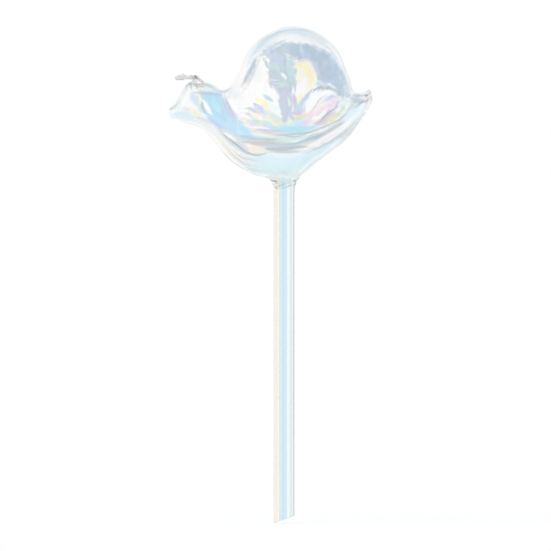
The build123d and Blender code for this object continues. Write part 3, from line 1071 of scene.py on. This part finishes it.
# Strokes on the clear glass of the tail's tip and the feelers: painted dark lines where the thick glass bends
# light most, a painted highlight along a feeler's root, and a pink film
CLEAR_FILM_AND_PAINTED_LIGHT = [
    (LINE, (33.5, 32.8), (38.5, 36.2), (43.5, 40.2), 0.4, 0.2),
    (LINE, (34.4, 39.6), (38.5, 39.3), (42.4, 42.8), 0.5, 0.2),
    (REFRACTED_DARK, (40.4, 44.4), (41.3, 42.6), (41.9, 40.2), 0.5, 0.15),
    (PINK, (36, 32.4), (39.2, 34.6), (42, 38), 1, 0.6),
    (TAUPE, (-45, 48.6), (-42.6, 46.4), (-40.4, 43), 1.2, 0.3),
    (WHITE, (-43.6, 49), (-41.2, 46.6), (-38.8, 42.8), 0.6, 0.15),
    (LINE, (-44.6, 49.6), (-42, 48.2), (-39.6, 45), 0.3, 0.15),
    (UMBER, (-42.8, 46.9), (-41.6, 45.5), (-40.5, 43.4), 0.35, 0.2),
    (UMBER, (-40.7, 47.2), (-39.5, 46), (-37.9, 44.5), 0.3, 0.15),
    (REFRACTED_DARK, (-43.2, 48.3), (-42.1, 47.9), (-41.2, 47.1), 0.35, 0.15),
]

# Painted shade and reflection at the collar's edges, where its ripples bend the light most: dark lines and a
# warm patch
COLLAR_PAINTED_LIGHT = [
    (PEACH, (-7, -1.6), (-5.6, -2.8), (-4.4, -5.4), 1, 0.4),
    (REFRACTED_DARK, (-6.4, -0.8), (-4.6, -1.2), (-2.8, -1.5), 0.4, 0.15),
    (REFRACTED_DARK, (-4.6, -3.2), (-3.9, -4.3), (-2.8, -5), 0.25, 0.12),
    (UMBER, (4.3, -1.6), (4.7, -3.8), (4.5, -5.8), 0.35, 0.15),
]


def clear_paint(tree, place, x, h):
    """The nearly clear glass of the collar, the feelers, the snout and the tail's tip."""
    color = layers(
        tree, CLEAR,
        (stem_paint(tree, place, x, h), h.step(2, -1)),
        # Painted shade: greyer in the thick glass of the feelers' roots and of the tail's tip
        (ROOT_SHADE_GREY, x.step(-37, -39) * h.step(43, 44.5)),
        (TIP_SHADE_GREY, x.step(36, 40)),
    )
    color = brush(tree, color, x, h, CLEAR_FILM_AND_PAINTED_LIGHT)
    # The collar's painted shade and reflection show only where its glass turns away from the eye
    return tint(tree, color, brush(tree, color, x, h, COLLAR_PAINTED_LIGHT), facing(tree).step(0.1, 0.35))


finishes = {
    "stem": film_glass("stem_film", stem_paint, FILM_THICKNESS),
    "snail": film_glass("snail_film", snail_paint, FILM_THICKNESS),
    "collar": film_glass("collar_glass", clear_paint, FILM_THICKNESS),
    "clear": film_glass("clear_glass", clear_paint, 0.0),
}
finish_of = {"stem_tube": "stem", "snail_body": "snail", "shell_dome": "snail", "neck_collar": "collar"}
joint = fused_joint()
for name, piece in pieces.items():
    finish = finish_of.get(name, "clear")
    piece.data.materials.append(finishes[finish])
    piece.data.materials.append(joint)
    "clear_glass" if finish in ("clear", "collar") else "film_glass"


# Camera, level and side-on, framed as in the photo
PHOTO_SIZE = 551
PIXEL = 10 / 21  # millimetres per pixel of the photo, from the stem's width
STEM_PIXEL, TIP_PIXEL = 284.0, 523.3  # the stem's axis and tip in the photo
CAMERA_DISTANCE = 6000.0
SENSOR = 36.0

camera_data = bpy.data.cameras.new("camera")
camera_data.sensor_width = SENSOR
camera_data.lens = SENSOR * CAMERA_DISTANCE / (PHOTO_SIZE * PIXEL)
camera = add_object("camera", camera_data)
camera.location = (
    (PHOTO_SIZE / 2 - STEM_PIXEL) * PIXEL * MM,
    -CAMERA_DISTANCE * MM,
    (TIP_PIXEL - PHOTO_SIZE / 2) * PIXEL * MM,
)
camera.rotation_euler = (radians(90), 0, 0)
scene.camera = camera


# Floor and light. Their lengths are in metres.
FLOOR_RADIUS = 0.35
FLOOR_FADE = (0.33, 0.06)  # distances from the tip where the floor is gone, and where it shows in full
FLOOR_GREYS = ((0.90, 0.90, 0.90), (0.93, 0.93, 0.93))


def floor():
    """A pale disc under the tip that fades into the white around it."""
    around = 64
    turn = np.linspace(0, 2 * np.pi, around, endpoint=False)
    rim = np.stack([FLOOR_RADIUS * np.cos(turn), FLOOR_RADIUS * np.sin(turn), 0 * turn], -1)
    mesh = bpy.data.meshes.new("floor")
    mesh.from_pydata(rim.tolist(), [], [range(around)])
    disc = add_object("floor", mesh)
    material, tree, shader = new_material("floor")
    place = new_node(tree, "TexCoord").outputs["Object"]
    length = new_node(tree, "VectorMath")
    length.operation = "LENGTH"
    tree.links.new(place, length.inputs[0])
    out = Value(tree, length.outputs["Value"])
    grain = noise(tree, place, 2.0) + 0.5
    feed_all(tree, shader, {"Base Color": tint(tree, *FLOOR_GREYS, grain), "Roughness": 0.6})
    glow = new_node(tree, "Emission")
    mix = new_node(tree, "MixShader")
    white = ray(tree, "Camera").math("MAXIMUM", ray(tree, "Transmission")) * 0.85
    feed_all(tree, mix, {"Fac": white, 1: shader.outputs[0], 2: glow.outputs[0]})
    gone = new_node(tree, "BsdfTransparent")
    fade = new_node(tree, "MixShader")
    feed_all(tree, fade, {"Fac": out.step(*FLOOR_FADE), 1: gone.outputs[0], 2: mix.outputs[0]})
    tree.links.new(fade.outputs[0], tree.nodes["Material Output"].inputs["Surface"])
    mesh.materials.append(material)
    disc.visible_glossy = False


floor()


def key_light():
    """A soft box above the floor. It doesn't show in the glass."""
    place, target, size, power = Vector((-0.6, -0.6, 1.3)), Vector((0, 0, 0.1)), 0.9, 12.0
    data = bpy.data.lights.new("key_box", "AREA")
    data.shape = "RECTANGLE"
    data.size = data.size_y = size
    data.energy = power
    light = add_object("key_box", data)
    light.location = place
    light.rotation_euler = (target - place).to_track_quat("-Z", "Y").to_euler()
    light.visible_glossy = light.visible_transmission = False


key_light()

# A pale room that the glass mirrors, with white behind it
ROOM_GREY = (0.75, 0.79, 0.8)
ROOM_WARM = (1.0, 0.95, 0.88)
ROOM_BLUE = (0.45, 0.66, 0.84)
ROOM_FLOOR = (0.85, 0.92, 0.97)
THROUGH_GREY = (0.62, 0.63, 0.63)  # above and below, as seen through the glass
BOX_WAY, BOX_HALF_WIDTH, BOX_STRENGTH = (-0.93, -0.37), 0.10, 0.3

world = bpy.data.worlds.new("studio")
scene.world = world
world.use_nodes = True
tree = world.node_tree
wide, deep, rise = coordinates(tree, "Generated")
blue_side = wide.step(0.7, -0.2) * 0.7 + 0.3
room = layers(
    tree, ROOM_GREY,
    (ROOM_WARM, wide.step(0.4, -0.5)),
    (ROOM_BLUE, rise.band(0.38, 0.85, 0.14) * blue_side * deep.step(-0.3, 0.2)),
    (ROOM_FLOOR, rise.step(-0.15, -0.5)),
    (tint(tree, THROUGH_GREY, WHITE, rise.band(-0.7, 0.45, 0.15)), ray(tree, "Transmission")),
    (WHITE, ray(tree, "Camera")),
)

# A tall soft box in a level direction of the room
off = (wide * BOX_WAY[1] - deep * BOX_WAY[0]).math("ABSOLUTE")
box = off.step(BOX_HALF_WIDTH + 0.07, BOX_HALF_WIDTH - 0.03) * rise.band(-0.35, 0.75, 0.15)
box = box * (wide * BOX_WAY[0] + deep * BOX_WAY[1]).step(0, 0.3) * BOX_STRENGTH
feed_all(tree, tree.nodes["Background"], {"Color": room, "Strength": box * ray(tree, "Glossy") + 1.0})

# Glass sends light on many times before it comes out
cycles = scene.cycles
cycles.max_bounces = cycles.glossy_bounces = cycles.transmission_bounces = 1000
cycles.transparent_max_bounces = 200

scene.view_settings.view_transform = "Standard"
